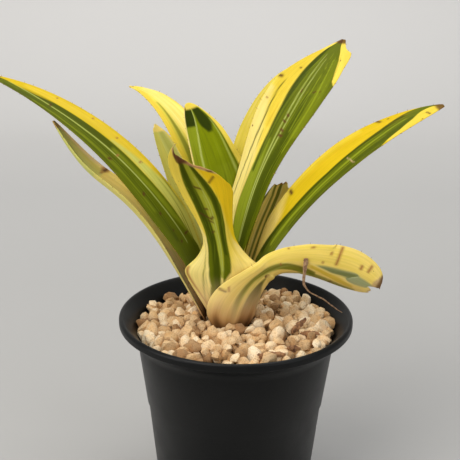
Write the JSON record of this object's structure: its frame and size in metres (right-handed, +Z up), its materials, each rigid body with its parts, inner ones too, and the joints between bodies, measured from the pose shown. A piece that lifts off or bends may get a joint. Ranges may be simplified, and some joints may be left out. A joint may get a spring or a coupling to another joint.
{
  "type": "potted hohenbergia",
  "caption": "Bromeliad with long spiny-edged variegated green and yellow leaves in a round black plastic pot topped with pumice gravel.",
  "frame": {"origin": "middle of the pot's flat underside, on the surface that it stands on", "axes": "+Z up along the pot's axis; the front of the plant, as pictured, faces -Y; +X is to the viewer's right"},
  "size_m": [0.2279, 0.1542, 0.2367],
  "materials": {
    "black_plastic": "satin moulded black polypropylene",
    "pumice": null,
    "root_brown": "dark brown fibrous rootstock",
    "variegated_leaf": null,
    "golden_leaf": "leathery living leaf, satin, golden yellow with narrow green lines",
    "cream_leaf": "leathery living leaf, satin, cream yellow with a green stripe and dry brown tips",
    "dry_sheath": "dry pale sheath, matte",
    "dry_brown": "dry brown leaf strip, matte"
  },
  "bodies": {
    "root": {"pot": "black_plastic", "gravel": "pumice", "rootstock": "root_brown", "dried_strip": "dry_brown", "leaf_far_left": "variegated_leaf", "leaf_low_left": "variegated_leaf", "leaf_back_left": "golden_leaf", "leaf_hooded": "variegated_leaf", "leaf_tall": "variegated_leaf", "leaf_front_cut": "variegated_leaf", "leaf_right": "variegated_leaf", "leaf_recurved": "cream_leaf", "leaf_stub_right": "variegated_leaf", "leaf_stub_left": "golden_leaf", "leaf_back": "variegated_leaf", "old_sheath": "dry_sheath"}
  },
  "joints": []
}
